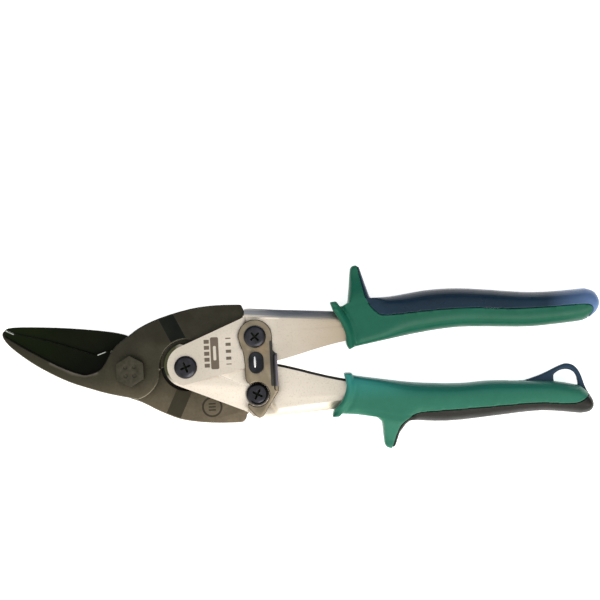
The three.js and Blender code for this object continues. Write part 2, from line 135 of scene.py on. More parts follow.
def colour_ramp(tree, factor, *stops):
    node = tree.nodes.new("ShaderNodeValToRGB")
    node.color_ramp.interpolation = "EASE"
    elements = node.color_ramp.elements
    for element, (position, colour) in zip(elements, stops):
        element.position = position
        element.color = colour
    tree.links.new(factor, node.inputs["Fac"])
    return node.outputs["Color"]


def make_sky():
    """A soft box overhead in a room that is warm on the near side and dark and cool on the far one."""
    world = bpy.data.worlds.new("studio")
    world.use_nodes = True
    tree = world.node_tree
    split = tree.nodes.new("ShaderNodeSeparateXYZ")
    tree.links.new(tree.nodes.new("ShaderNodeTexCoord").outputs["Generated"], split.inputs[0])
    lean = tree.nodes.new("ShaderNodeMapRange")
    lean.inputs["From Min"].default_value = -1
    tree.links.new(split.outputs["Y"], lean.inputs["Value"])
    horizon = colour_ramp(tree, lean.outputs["Result"], (0.1, NEAR_HORIZON), (0.75, FAR_HORIZON))
    height = colour_ramp(tree, split.outputs["Z"], (0.45, (0, 0, 0, 1)), (0.9, (1, 1, 1, 1)))
    blend = tree.nodes.new("ShaderNodeMix")
    blend.data_type = "RGBA"
    tree.links.new(height, blend.inputs[MIX_FACTOR])
    tree.links.new(horizon, blend.inputs[MIX_FIRST])
    blend.inputs[MIX_SECOND].default_value = ZENITH
    tree.links.new(blend.outputs[MIX_RESULT], tree.nodes["Background"].inputs["Color"])
    bpy.context.scene.world = world
    bpy.context.scene.view_settings.view_transform = "Standard"


def make_floor():
    mesh = bpy.data.meshes.new("floor")
    half = FLOOR_HALF
    corners = [(-half, -half, 0), (half, -half, 0), (half, half, 0), (-half, half, 0)]
    mesh.from_pydata(corners, [], [(0, 1, 2, 3)])
    floor = bpy.data.objects.new("floor", mesh)
    floor.location.z = FLOOR_LEVEL
    material = bpy.data.materials.new("floor_white")
    material.use_nodes = True
    shader = material.node_tree.nodes["Principled BSDF"]
    shader.inputs["Base Color"].default_value = FLOOR_WHITE
    shader.inputs["Roughness"].default_value = FLOOR_ROUGHNESS
    shader.inputs["Emission Color"].default_value = (1, 1, 1, 1)
    shader.inputs["Emission Strength"].default_value = FLOOR_GLOW
    mesh.materials.append(material)
    bpy.context.collection.objects.link(floor)


# ---- Material nodes -----------------------------------------------------------------------------

class Nodes:
    """Short-hand for building a node material round one Principled shader."""

    def __init__(self, name, roughness, metallic=0.0, **constants):
        self.material = bpy.data.materials.new(name)
        self.material.use_nodes = True
        self.tree = self.material.node_tree
        self.shader = self.tree.nodes["Principled BSDF"]
        self.shader.inputs["Roughness"].default_value = roughness
        self.shader.inputs["Metallic"].default_value = metallic
        for socket, value in constants.items():
            self.shader.inputs[socket.replace("_", " ")].default_value = value
        self.place = self.add("ShaderNodeTexCoord").outputs["Object"]

    def add(self, kind, **settings):
        node = self.tree.nodes.new(kind)
        for key, value in settings.items():
            setattr(node, key, value)
        return node

    def wire(self, source, target):
        self.tree.links.new(source, target)

    def stretched(self, scale):
        node = self.add("ShaderNodeMapping")
        node.inputs["Scale"].default_value = scale
        self.wire(self.place, node.inputs["Vector"])
        return node.outputs["Vector"]

    def noise(self, scale, detail=3.0, roughness=0.55, vector=None):
        node = self.add("ShaderNodeTexNoise")
        node.inputs["Scale"].default_value = scale
        node.inputs["Detail"].default_value = detail
        node.inputs["Roughness"].default_value = roughness
        self.wire(vector or self.place, node.inputs["Vector"])
        return node.outputs["Fac"]

    def ramp(self, factor, *stops):
        node = self.add("ShaderNodeValToRGB")
        elements = node.color_ramp.elements
        while len(elements) < len(stops):
            elements.new(0.5)
        for element, (position, colour) in zip(elements, stops):
            element.position = position
            element.color = (*colour, 1)
        self.wire(factor, node.inputs["Fac"])
        return node.outputs["Color"]

    def span(self, factor, low, high, at=(0.3, 0.7)):
        node = self.add("ShaderNodeMapRange")
        node.inputs["From Min"].default_value = at[0]
        node.inputs["From Max"].default_value = at[1]
        node.inputs["To Min"].default_value = low
        node.inputs["To Max"].default_value = high
        self.wire(factor, node.inputs["Value"])
        return node.outputs["Result"]

    def mixed(self, factor, first, second):
        node = self.add("ShaderNodeMix", data_type="RGBA")
        for index, value in ((MIX_FACTOR, factor), (MIX_FIRST, first), (MIX_SECOND, second)):
            socket = node.inputs[index]
            if isinstance(value, (int, float)):
                socket.default_value = value
            elif isinstance(value, tuple):
                socket.default_value = (*value, 1)
            else:
                self.wire(value, socket)
        return node.outputs[MIX_RESULT]

    def math(self, operation, first, second):
        node = self.add("ShaderNodeMath", operation=operation)
        for socket, value in zip(node.inputs, (first, second)):
            if isinstance(value, (int, float)):
                socket.default_value = value
            else:
                self.wire(value, socket)
        return node.outputs[0]

    def vector(self, operation, first, second=None, output="Vector"):
        node = self.add("ShaderNodeVectorMath", operation=operation)
        for socket, value in zip(node.inputs, (first, second)):
            if isinstance(value, tuple):
                socket.default_value = value
            elif value is not None:
                self.wire(value, socket)
        return node.outputs[output]

    def length(self, source):
        return self.vector("LENGTH", source, output="Value")

    def flat_place(self):
        return self.vector("MULTIPLY", self.place, (1, 1, 0))

    def disc(self, centre, radius, soft=0.12 * MM):
        """1 inside a circle on the tool's plan, 0 outside."""
        distance = self.vector("DISTANCE", self.flat_place(), (*centre, 0), "Value")
        return self.span(distance, 1.0, 0.0, at=(radius - soft, radius + soft))

    def streak(self, first, last, width, soft):
        """1 along a straight line on the tool's plan."""
        run = Vector((*last, 0)) - Vector((*first, 0))
        offset = self.vector("SUBTRACT", self.flat_place(), (*first, 0))
        along = self.vector("DOT_PRODUCT", offset, tuple(run), "Value")
        share = self.math("MULTIPLY", along, 1 / run.length_squared)
        share = self.span(share, 0.0, 1.0, at=(0.0, 1.0))
        travelled = self.add("ShaderNodeVectorMath", operation="SCALE")
        travelled.inputs[0].default_value = run
        self.wire(share, travelled.inputs["Scale"])
        away = self.length(self.vector("SUBTRACT", offset, travelled.outputs["Vector"]))
        return self.span(away, 1.0, 0.0, at=(width / 2, width / 2 + soft))

    def panel(self, centre, half, corner, soft=0.1 * MM):
        """1 inside a rectangle with round corners on the tool's plan."""
        away = self.vector("ABSOLUTE", self.vector("SUBTRACT", self.flat_place(), (*centre, 0)))
        past = self.vector("SUBTRACT", away, (half[0] - corner, half[1] - corner, 0))
        outside = self.length(self.vector("MAXIMUM", past, (0, 0, 0)))
        return self.span(outside, 1.0, 0.0, at=(corner - soft, corner + soft))

    def ticks(self, centre, half, pitch, share):
        """A column of short bars."""
        saw = self.math("FRACT", self.math("DIVIDE", self.axis("Y"), pitch), 0.0)
        bars = self.math("LESS_THAN", saw, share)
        return self.math("MULTIPLY", self.panel(centre, half, 0.2 * MM), bars)

    def component(self, source, name):
        split = self.add("ShaderNodeSeparateXYZ")
        self.wire(source, split.inputs[0])
        return split.outputs[name]

    def axis(self, name):
        return self.component(self.place, name)

    def lean(self, name):
        """One component of the surface's own normal."""
        return self.component(self.add("ShaderNodeNewGeometry").outputs["True Normal"], name)

    def facing_up(self):
        """1 where the surface faces the side that the latch is on."""
        return self.math("GREATER_THAN", self.lean("Z"), 0.9)

    def shoulders(self):
        """1 on rounded edges and side walls, 0 on faces that lie flat."""
        return self.span(self.math("ABSOLUTE", self.lean("Z"), 0.0), 1.0, 0.0, at=(0.8, 0.97))

    def edges(self, radius):
        """1 along convex and hollow edges, 0 on flat faces."""
        bevel = self.add("ShaderNodeBevel", samples=4)
        bevel.inputs["Radius"].default_value = radius
        normal = self.add("ShaderNodeNewGeometry").outputs["Normal"]
        dot = self.add("ShaderNodeVectorMath", operation="DOT_PRODUCT")
        self.wire(bevel.outputs["Normal"], dot.inputs[0])
        self.wire(normal, dot.inputs[1])
        return self.span(dot.outputs["Value"], 1.0, 0.0, at=(0.8, 0.995))

    def bump(self, height, strength, distance):
        node = self.add("ShaderNodeBump")
        node.inputs["Strength"].default_value = strength
        node.inputs["Distance"].default_value = distance
        self.wire(height, node.inputs["Height"])
        self.wire(node.outputs["Normal"], self.shader.inputs["Normal"])

    def colour(self, source):
        self.wire(source, self.shader.inputs["Base Color"])

    def roughness(self, source):
        self.wire(source, self.shader.inputs["Roughness"])


# ---- Materials ------------------------------------------------------------------------------------
# Colours are linear red, green and blue. Noise scales are cells to the metre.

def forged_steel(name, marks):
    """Oxide-black forging; painted highlight low down and on near edges, painted shade high up and on far
    edges.
    """
    n = Nodes(name, 0.5, 0.6, Specular_IOR_Level=0.3)
    cloud = n.noise(120, 4)
    scale = n.noise(900, 3, 0.6)
    # Painted light: the lower side is painted lighter and the upper side darker, as the light comes from the
    # near side.
    painted_light_low_side = n.ramp(cloud, (0.3, (0.125, 0.1, 0.066)), (0.7, (0.165, 0.133, 0.09)))
    middle = n.ramp(cloud, (0.3, (0.04, 0.037, 0.021)), (0.7, (0.057, 0.052, 0.032)))
    painted_shade_high_side = n.ramp(cloud, (0.3, (0.024, 0.022, 0.012)), (0.7, (0.042, 0.039, 0.025)))
    across = n.axis("Y")
    lower = n.mixed(n.span(across, 0.0, 1.0, at=(-19 * MM, -3 * MM)), painted_light_low_side, middle)
    whole = n.mixed(n.span(across, 0.0, 1.0, at=(-2 * MM, 13 * MM)), lower, painted_shade_high_side)
    speckled = n.mixed(n.span(scale, 0.0, 0.4), whole, n.mixed(0.5, whole, (0.02, 0.02, 0.015)))
    # Paler edges: partly wear, partly a painted highlight.
    worn = n.math("MULTIPLY", n.edges(0.45 * MM), n.span(n.noise(450), 0.15, 0.7))
    surface = n.mixed(worn, speckled, (0.26, 0.24, 0.19))
    shoulders = n.shoulders()
    # Painted shade on rounded edges facing away from the light, painted highlight on those facing it.
    painted_shade_far_edge = n.math("MULTIPLY", shoulders, n.span(n.lean("Y"), 0.0, 0.85, at=(-0.1, 0.3)))
    painted_highlight_near_edge = n.math("MULTIPLY", shoulders, n.span(n.lean("Y"), 0.55, 0.0, at=(-0.5, -0.1)))
    surface = n.mixed(painted_shade_far_edge, surface, (0.006, 0.006, 0.004))
    surface = n.mixed(painted_highlight_near_edge, surface, (0.3, 0.275, 0.21))
    relief = n.mixed(0.5, n.noise(1400, 2), n.noise(260, 3))
    mark, tint = marks(n)
    n.colour(n.mixed(mark, surface, tint))
    n.roughness(n.span(scale, 0.34, 0.52))
    n.bump(n.mixed(mark, relief, (0, 0, 0)), 0.25, 0.1 * MM)
    return n.material


TAIL_RING = (33.4 * MM, -16.6 * MM)
BRIGHT_SPOT = (18.6 * MM, 18.9 * MM)
# Points along the lower rim of the jaw's hollow, in mm, where a painted highlight runs.
RIM_HIGHLIGHT_POINTS = ((-33, 5), (-28, 2.6), (-24, 0.4), (-19, -0.6), (-14.5, 0.1))
BRIGHT_TIP = ((-51.6 * MM, 19.4 * MM), (-48.6 * MM, 17.9 * MM))
BRIGHT_HEEL = ((-13.4 * MM, 7.4 * MM), (-10.3 * MM, 8.5 * MM))


def ring_mark(n):
    """A plain stamped ring with three short bars in it, on the lower tail."""
    outer = n.disc(TAIL_RING, 4.3 * MM)
    inner = n.disc(TAIL_RING, 3.5 * MM)
    ring = n.math("SUBTRACT", outer, inner)
    column = n.ticks(TAIL_RING, (1.5 * MM, 2 * MM), 1.3 * MM, 0.45)
    bars = n.math("MULTIPLY", n.disc(TAIL_RING, 2.4 * MM), column)
    mark = n.math("MULTIPLY", n.math("MAXIMUM", ring, bars), n.facing_up())
    return n.math("MULTIPLY", mark, 0.85), (0.02, 0.018, 0.01)


def spot_and_rim_highlight(n):
    """A small bright spot on the ramp, and a painted highlight along the rim below the hollow."""
    spot = n.disc(BRIGHT_SPOT, 0.55 * MM, 0.3 * MM)
    rim = 0.0
    for first, last in zip(RIM_HIGHLIGHT_POINTS, RIM_HIGHLIGHT_POINTS[1:]):
        piece = n.streak([c * MM for c in first], [c * MM for c in last], 0.2 * MM, 1.2 * MM)
        rim = n.math("MAXIMUM", piece, rim)
    # The rim's streak is a painted highlight.
    mark = n.math("MAXIMUM", spot, n.math("MULTIPLY", rim, 0.2))
    return n.math("MULTIPLY", mark, n.facing_up()), (0.5, 0.42, 0.38)


def bolt_steel():
    """The bolt's head, with painted shade on its chamfers and sides."""
    n = Nodes("bolt_steel", 0.4, 0.8, Specular_IOR_Level=0.2)
    cloud = n.noise(500, 3)
    base = n.ramp(cloud, (0.3, (0.044, 0.04, 0.027)), (0.7, (0.066, 0.06, 0.044)))
    # Painted shade: faces that do not lie flat are darkened.
    n.colour(n.mixed(n.math("MULTIPLY", n.shoulders(), 0.8), base, (0.01, 0.01, 0.008)))
    n.roughness(n.span(cloud, 0.3, 0.48))
    n.bump(n.noise(1200, 2), 0.2, 0.06 * MM)
    return n.material


def dark_jaw(name, low, high):
    """The hollow and jaw behind it: nearly black, green towards the tip, with painted highlights on edges,
    tip and heel.
    """
    n = Nodes(name, 0.3, 0.0, Specular_IOR_Level=0.05)
    cloud = n.noise(70, 3)
    base = n.ramp(cloud, (0.3, low), (0.7, high))
    tip = n.span(n.axis("X"), 1.0, 0.0, at=(-50 * MM, -20 * MM))
    green = n.mixed(n.math("MULTIPLY", tip, 0.8), base, (0.007, 0.013, 0.002))
    # Paler lines along the edges, a painted highlight.
    edge_painted_light = n.mixed(n.math("MULTIPLY", n.edges(0.3 * MM), 0.6), green, (0.09, 0.11, 0.06))
    # Painted highlights at the tip and at the heel of the cutting edge.
    tip_glint = n.streak(*BRIGHT_TIP, 0.1 * MM, 0.4 * MM)
    heel_glint = n.streak(*BRIGHT_HEEL, 0.1 * MM, 0.25 * MM)
    bright = n.math("MAXIMUM", tip_glint, heel_glint)
    n.colour(n.mixed(bright, edge_painted_light, (0.75, 0.78, 0.7)))
    streaks = n.noise(60, 2, 0.5, n.stretched((4, 30, 30)))
    n.roughness(n.span(streaks, 0.25, 0.42))
    n.bump(n.noise(900, 2), 0.12, 0.05 * MM)
    return n.material


STAMP = (35.6 * MM, 5.9 * MM)
NOSE = (24 * MM, 1.2 * MM)


def cheek_marks(n):
    """A plain dark panel with a light bar in it, between two columns of short bars."""
    x, y = STAMP
    whole = n.panel(STAMP, (1.7 * MM, 6.7 * MM), 0.7 * MM)
    window = n.panel(STAMP, (0.6 * MM, 3 * MM), 0.5 * MM)
    panel = n.math("SUBTRACT", whole, window)
    left = n.ticks((x - 3.3 * MM, y + 0.3 * MM), (1.1 * MM, 6.2 * MM), 2.5 * MM, 0.66)
    right = n.ticks((x + 5.8 * MM, y + 0.6 * MM), (1.1 * MM, 5.6 * MM), 2.9 * MM, 0.45)
    marks = n.math("MAXIMUM", panel, n.math("MAXIMUM", left, right))
    marks = n.math("MULTIPLY", marks, n.facing_up())
    return n.math("MULTIPLY", marks, 0.88), (0.085, 0.06, 0.038)


def nose_shade(n):
    """Painted shade on the inner cheek, round the nose of the outer one."""
    around = n.disc(NOSE, 11.2 * MM)
    behind = n.span(n.axis("X"), 1.0, 0.0, at=(19 * MM, 25 * MM))
    upper = n.span(n.axis("Y"), 0.0, 1.0, at=(-6 * MM, -2 * MM))
    nose_shade_mask = n.math("MULTIPLY", n.math("MULTIPLY", around, behind), upper)
    return nose_shade_mask, (0.075, 0.08, 0.04)


def bright_sheet(name, low, high, marks, shade):
    """Satin nickel on pressed sheet, with a faint rolling grain and fine pits.

    shade is how much painted shade it gets towards the grip.
    """
    n = Nodes(name, 0.38, 0.85)
    cloud = n.noise(45, 3)
    base = n.ramp(cloud, (0.3, low), (0.7, high))
    pits = n.noise(1500, 2, 0.6)
    spotted = n.mixed(n.span(pits, 0.3, 0.0, at=(0.3, 0.45)), base, (0.4, 0.35, 0.27))
    worn = n.math("MULTIPLY", n.edges(0.3 * MM), 0.3)
    # Painted shade towards the grip.
    shadow = n.math("MULTIPLY", n.span(n.axis("X"), 0.0, 1.0, at=(60 * MM, 90 * MM)), shade)
    grip_end_shaded = n.mixed(shadow, spotted, (0.42, 0.33, 0.22))
    # Painted shade on the fold, which leans away from the light.
    fold_shaded = n.mixed(n.span(n.lean("Y"), 0.0, 0.8, at=(0.15, 0.4)), grip_end_shaded, (0.17, 0.2, 0.25))
    plated = n.mixed(worn, fold_shaded, (0.85, 0.82, 0.76))
    mark, tint = marks(n)
    n.colour(n.mixed(mark, plated, tint))
    grain = n.noise(300, 3, 0.6, n.stretched((0.35, 4, 4)))
    n.roughness(n.span(grain, 0.3, 0.45))
    n.bump(n.mixed(0.5, grain, n.noise(900, 2)), 0.14, 0.05 * MM)
    return n.material


LATCH_FLANGE = (61.2 * MM, 0.6 * MM)
LATCH_HIGHLIGHT = (55.5 * MM, 6.5 * MM)


def latch_steel():
    """A satin pressing with a warm painted highlight, painted shade on its edges and a painted-shade flange
    with a lilac edge.
    """
    n = Nodes("latch_steel", 0.3, 0.8, Specular_IOR_Level=0.2)
    cloud = n.noise(160, 3)
    base = n.ramp(cloud, (0.3, (0.2, 0.165, 0.112)), (0.7, (0.3, 0.25, 0.178)))
    # Painted highlight: a warm bright spot on the plate.
    highlight_spot = n.disc(LATCH_HIGHLIGHT, 1 * MM, 3 * MM)
    warm_highlight = n.mixed(n.math("MULTIPLY", highlight_spot, 0.6), base, (0.45, 0.3, 0.17))
    # Painted shade on the edges and side walls.
    edge_painted_light = n.mixed(n.shoulders(), warm_highlight, (0.008, 0.008, 0.007))
    # The flange: a dark band of painted shade where it bends, and a lilac band along its edge.
    flange = n.panel(LATCH_FLANGE, (2.6 * MM, 9.5 * MM), 0.6 * MM)
    band = n.span(n.axis("X"), 0.0, 1.0, at=(60.6 * MM, 61.2 * MM))
    lilac = n.mixed(band, (0.05, 0.048, 0.045), (0.17, 0.155, 0.2))
    n.colour(n.mixed(flange, edge_painted_light, lilac))
    n.roughness(n.span(n.noise(300), 0.26, 0.42))
    n.bump(n.noise(900, 2), 0.15, 0.05 * MM)
    return n.material


def paler(colour, gain, lift):
    return tuple(min(1.0, gain * part + lift) for part in colour)


def worn_metal(name, low, high, roughness, metallic):
    """Machined or drawn metal, paler where its edges are worn."""
    n = Nodes(name, roughness, metallic)
    cloud = n.noise(240, 3)
    base = n.ramp(cloud, (0.3, low), (0.7, high))
    worn = n.math("MULTIPLY", n.edges(0.25 * MM), n.span(n.noise(600), 0.15, 0.7))
    n.colour(n.mixed(worn, base, paler(high, 2.6, 0.06)))
    n.roughness(n.span(n.noise(500), roughness - 0.06, roughness + 0.1))
    n.bump(n.noise(1300, 2), 0.15, 0.05 * MM)
    return n.material


# Tints that fade in along a grip: the axis, the colour, where it starts and where it is full.
LOOP_BLUE = ("Y", (0.016, 0.045, 0.085), -21 * MM, -14 * MM)
# TEAL_REFLECTION is a painted reflection of the cool sky along the lower grip's upper side.
TEAL_REFLECTION = ("Y", (0.02, 0.21, 0.19), -17 * MM, -8 * MM)
# END_BLUE_HIGHLIGHT is a painted highlight on the upper grip's end.
END_BLUE_HIGHLIGHT = ("X", (0.135, 0.235, 0.46), 175 * MM, 200 * MM)


# Each moulding's darker and lighter shade.
GREEN = (0.003, 0.088, 0.05), (0.006, 0.112, 0.068)
LIT_GREEN = (0.018, 0.145, 0.092), (0.027, 0.178, 0.118)
SOFT_BLUE = (0.003, 0.016, 0.034), (0.006, 0.028, 0.055)
SOFT_GREY = (0.005, 0.0055, 0.0042), (0.01, 0.01, 0.008)
SHELL_GRAIN = 1600
SOFT_GRAIN = 1200


def moulded(name, shades, roughness, grain, tint=None):
    """A plastic moulding with a fine grain, faintly dusty in random patches and paler on its edges."""
    low, high = shades
    n = Nodes(name, roughness, 0.0, Sheen_Weight=0.03, Sheen_Roughness=0.5, Specular_IOR_Level=0.22)
    cloud = n.noise(35, 3)
    base = n.ramp(cloud, (0.3, low), (0.7, high))
    if tint:
        axis, colour, first, last = tint
        base = n.mixed(n.span(n.axis(axis), 0.0, 1.0, at=(first, last)), base, colour)
    dust = n.noise(500, 3, 0.7)
    dusty = n.mixed(n.span(dust, 0.0, 0.08), base, paler(high, 1.7, 0.02))
    worn = n.math("MULTIPLY", n.edges(0.8 * MM), 0.35)
    n.colour(n.mixed(worn, dusty, paler(high, 1.5, 0.01)))
    n.roughness(n.span(n.noise(180), roughness - 0.05, roughness + 0.08))
    n.bump(n.mixed(0.4, n.noise(grain, 2, 0.5), n.noise(grain / 5, 2)), 0.18, 0.06 * MM)
    return n.material


def make_materials():
    return {
        "front": forged_steel("forged_front", spot_and_rim_highlight),
        "rear": forged_steel("forged_rear", ring_mark),
        "bolt": bolt_steel(),
        # Painted shade: the tilted ramps get darker copies of the jaw finish.
        "front_ramp": dark_jaw("painted_shade_front_ramp", (0.006, 0.008, 0.006), (0.013, 0.015, 0.011)),
        "rear_ramp": dark_jaw("painted_shade_rear_ramp", (0.032, 0.029, 0.018), (0.05, 0.045, 0.03)),
        # Near-black painted shade for the screws' cross recesses.
        "painted_recess_shade": dark_jaw("painted_recess_shade", (0.002, 0.002, 0.002), (0.005, 0.005, 0.005)),
        # The hollow's own near-black finish, darkened further as painted shade for the hollow.
        "pocket": dark_jaw("dark_pocket_and_shade", (0.002, 0.003, 0.0008), (0.006, 0.008, 0.003)),
        "rear_dark_jaw": dark_jaw("dark_jaw", (0.0035, 0.005, 0.0015), (0.008, 0.01, 0.004)),
        "bright": bright_sheet("bright_sheet", (0.6, 0.54, 0.45), (0.7, 0.63, 0.54), cheek_marks, 0.75),
        # The lower channel's sheet is a lighter copy of the upper one's, painted light from the near side.
        "light": bright_sheet("bright_sheet_painted_light", (0.74, 0.67, 0.57), (0.83, 0.75, 0.64), nose_shade, 0.05),
        "inside": worn_metal("sheet_inside", (0.03, 0.03, 0.027), (0.06, 0.058, 0.052), 0.6, 0.3),
        "black": worn_metal("blackened_steel", (0.02, 0.02, 0.022), (0.05, 0.05, 0.06), 0.2, 0.9),
        "button": worn_metal("polished_black", (0.012, 0.013, 0.015), (0.03, 0.032, 0.036), 0.1, 0.9),
        "latch": latch_steel(),
        "rib_highlight": worn_metal("painted_highlight_rib", (0.75, 0.76, 0.78), (0.9, 0.9, 0.9), 0.15, 0.9),
        "zinc": worn_metal("zinc_plate", (0.4, 0.4, 0.38), (0.55, 0.54, 0.52), 0.35, 0.95),
        "spring": worn_metal("spring_wire", (0.16, 0.16, 0.17), (0.25, 0.25, 0.26), 0.3, 0.95),
        "green": moulded("green_moulding", GREEN, 0.36, SHELL_GRAIN),
        "lit_green": moulded("lit_green_moulding", LIT_GREEN, 0.36, SHELL_GRAIN, TEAL_REFLECTION),
        "blue": moulded("blue_soft_moulding", SOFT_BLUE, 0.3, SOFT_GRAIN, END_BLUE_HIGHLIGHT),
        "grey": moulded("grey_soft_moulding", SOFT_GREY, 0.42, SOFT_GRAIN, LOOP_BLUE),
    }


# ---- Mesh helpers --------------------------------------------------------------------------------

SAME_PLACE = 1e-6
SAME_PLANE = math.radians(0.4)


def object_from(bm, name):
    mesh = bpy.data.meshes.new(name)
    bm.to_mesh(mesh)
    bm.free()
    piece = bpy.data.objects.new(name, mesh)
    bpy.context.collection.objects.link(piece)
    return piece


def cad_copy(*nodes):
    """The CAD solids of these nodes in one bmesh, with each flat face in one piece."""
    bm = bmesh.new()
    for node in nodes:
        bm.from_mesh(frame["nodes"][node].data)
    bmesh.ops.remove_doubles(bm, verts=bm.verts, dist=SAME_PLACE)
    bmesh.ops.dissolve_limit(bm, angle_limit=SAME_PLANE, verts=bm.verts, edges=bm.edges)
    return bm


def apply_modifiers(piece):
    bpy.context.view_layer.update()
    seen = piece.evaluated_get(bpy.context.evaluated_depsgraph_get())
    mesh = bpy.data.meshes.new_from_object(seen)
    piece.modifiers.clear()
    piece.data = mesh


def smooth_shade(piece, angle=35):
    piece.data.shade_smooth()
    piece.data.set_sharp_from_angle(angle=math.radians(angle))


def cut_across(bm, point, normal):
    """Adds edges where a plane crosses the mesh, and takes nothing away."""
    everything = bm.verts[:] + bm.edges[:] + bm.faces[:]
    bmesh.ops.bisect_plane(bm, geom=everything, plane_co=point, plane_no=normal)


def bevelled(piece, width, segments=3, angle=30, clamp=True):
    bevel = piece.modifiers.new("bevel", "BEVEL")
    bevel.width = width
    bevel.segments = segments
    bevel.limit_method = "ANGLE"
    bevel.angle_limit = math.radians(angle)
    bevel.use_clamp_overlap = clamp
    bevel.miter_outer = "MITER_ARC"
    apply_modifiers(piece)


def place(piece, node, body, slot, *finish):
    for material in finish:
        piece.data.materials.append(material)
    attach(piece, body)
    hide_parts(node)


def machined(name, node, body, slot, finish, width, segments=2, clamp=True):
    """A CAD piece with its edges broken, for fasteners and plates."""
    piece = object_from(cad_copy(node), name)
    bevelled(piece, width, segments, clamp=clamp)
    smooth_shade(piece)
    place(piece, node, body, slot, finish)


# ---- Blades --------------------------------------------------------------------------------------

# Which way a blade's outer side faces.
FRONT, REAR = 1, -1

# The jaws get thinner from here to their tips, where this share of the thickness is left.
JAW_ROOT = -12 * MM
JAW_TIP_THICKNESS = 0.5

# Where the dark skin on each jaw ends.
JAW_END = {FRONT: -7.5 * MM, REAR: 1 * MM}
POCKET_LEVEL = 2.2 * MM

# The ramp is the only slightly tilted face that is larger than this.
RAMP_AREA = 20 * MM * MM
FORGED_ROUND = 0.5 * MM

# Points past this place, at the end of the upper tail, move a little to the right.
TAIL_TIP = Vector((46.9 * MM, 21.5 * MM))
TIP_STRETCH = 0.4 * MM

FORGED_SKIN, DARK_JAW_SKIN, RAMP_SKIN = 0, 1, 2


def blade_finish(face, side):
    """The dark skin on the front jaw's pocket and on all of the rear jaw, and the ramp's painted shade down
    to the tail.
    """
    height = side * (face.center.z - BLADE_PIVOT.z)
    tilt = abs(face.normal.z)
    pocket = tilt > 0.9 and height < POCKET_LEVEL
    if face.center.x < JAW_END[side] and (side == REAR or pocket):
        return DARK_JAW_SKIN
    return RAMP_SKIN if 0.8 < tilt < 0.995 and face.area > RAMP_AREA else FORGED_SKIN


def forged_blade(name, node, body, side, *skins):
    """A forging with round edges; its skins are the forged one, the dark one and the ramp's painted shade.
    """
    bm = cad_copy(node)
    jaw_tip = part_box(node)[0].x
    for v in bm.verts:
        along = max(0.0, (JAW_ROOT - v.co.x) / (JAW_ROOT - jaw_tip))
        height = v.co.z - BLADE_PIVOT.z
        v.co.z = BLADE_PIVOT.z + height * (1 - (1 - JAW_TIP_THICKNESS) * along)
        if v.co.x > TAIL_TIP.x and v.co.y > TAIL_TIP.y:
            v.co.x += TIP_STRETCH
    cut_across(bm, (JAW_END[side], 0, 0), (1, 0, 0))
    piece = object_from(bm, name)
    bevelled(piece, FORGED_ROUND, 3, 28, clamp=False)
    place(piece, node, body, "forged_steel", *skins)
    for face in piece.data.polygons:
        face.material_index = blade_finish(face, side)
    smooth_shade(piece)


def make_blades(materials):
    skins = materials["front"], materials["pocket"], materials["front_ramp"]
    forged_blade("lower_blade_forging", "lower_blade", FRONT_BLADE, FRONT, *skins)
    skins = materials["rear"], materials["rear_dark_jaw"], materials["rear_ramp"]
    forged_blade("upper_blade_forging", "upper_blade", REAR_BLADE, REAR, *skins)


# ---- Handle channels -----------------------------------------------------------------------------

# Which way a channel's closed edge faces.
UP, DOWN = 1, -1

# The upper channel's front corner, left of and above this place, reaches a little further left.
CORNER = Vector((50.5 * MM, 20.5 * MM))
CORNER_STRETCH = 0.8 * MM

# A fold slopes from steep at the channel's outer edge to gentle where it meets the cheek.
FOLD_WIDTH = 3.3 * MM
FOLD_CUTS = (0.2, 0.4, 0.6, 0.8, 1.0)
FOLD_CHORDS = 6
FOLD_START = UPPER_LINK.x - 3.5 * MM
STEEP = math.radians(40)
GENTLE = math.radians(18)

EDGE_BREAK = 0.22 * MM
ON_CHEEK = 0.02 * MM


def outer_line(bm, side):
    """The corners of the channel's outer edge, seen from above, from the front to the tang."""
    corners = {}
    for face in bm.faces:
        if side * face.normal.y > 0.9 and face.calc_center_median().x > FOLD_START:
            for v in face.verts:
                corners[round(v.co.x, 5)] = v.co.xy.copy()
    return [corners[x] for x in sorted(corners)]


def cut_along(bm, line, side):
    """Adds edges to the cheeks at a few distances from the outer line."""
    chords = line[:: max(1, len(line) // FOLD_CHORDS)]
    for first, last in zip(chords, chords[1:]):
        inwards = Vector((last - first).orthogonal()).normalized() * side
        if side * inwards.y > 0:
            inwards = -inwards
        for share in FOLD_CUTS:
            point = first + inwards * (share * FOLD_WIDTH)
            cut_across(bm, (*point, 0), (*inwards, 0))


def distance_to(line, point):
    """How far a point of the plan is from a line of several straight runs."""
    distances = []
    for first, last in zip(line, line[1:]):
        nearest, share = intersect_point_line(point, first, last)
        nearest = first if share < 0 else last if share > 1 else nearest
        distances.append((point - nearest.xy).length)
    return min(distances)


def fold_drop(distance):
    """How far the fold lies below the cheek, at a distance from the outer edge."""
    tilt = STEEP + (GENTLE - STEEP) * distance / FOLD_WIDTH
    run_per_radian = FOLD_WIDTH / (STEEP - GENTLE)
    return run_per_radian * (math.log(math.cos(GENTLE)) - math.log(math.cos(tilt)))


def fold_down(bm, line):
    """Slopes the outer corners of both cheeks."""
    levels = [v.co.z for v in bm.verts]
    for v in bm.verts:
        for face_level, inwards in ((max(levels), -1), (min(levels), 1)):
            distance = distance_to(line, v.co.xy)
            if abs(v.co.z - face_level) < ON_CHEEK and distance < FOLD_WIDTH:
                v.co.z += inwards * fold_drop(distance)
                break


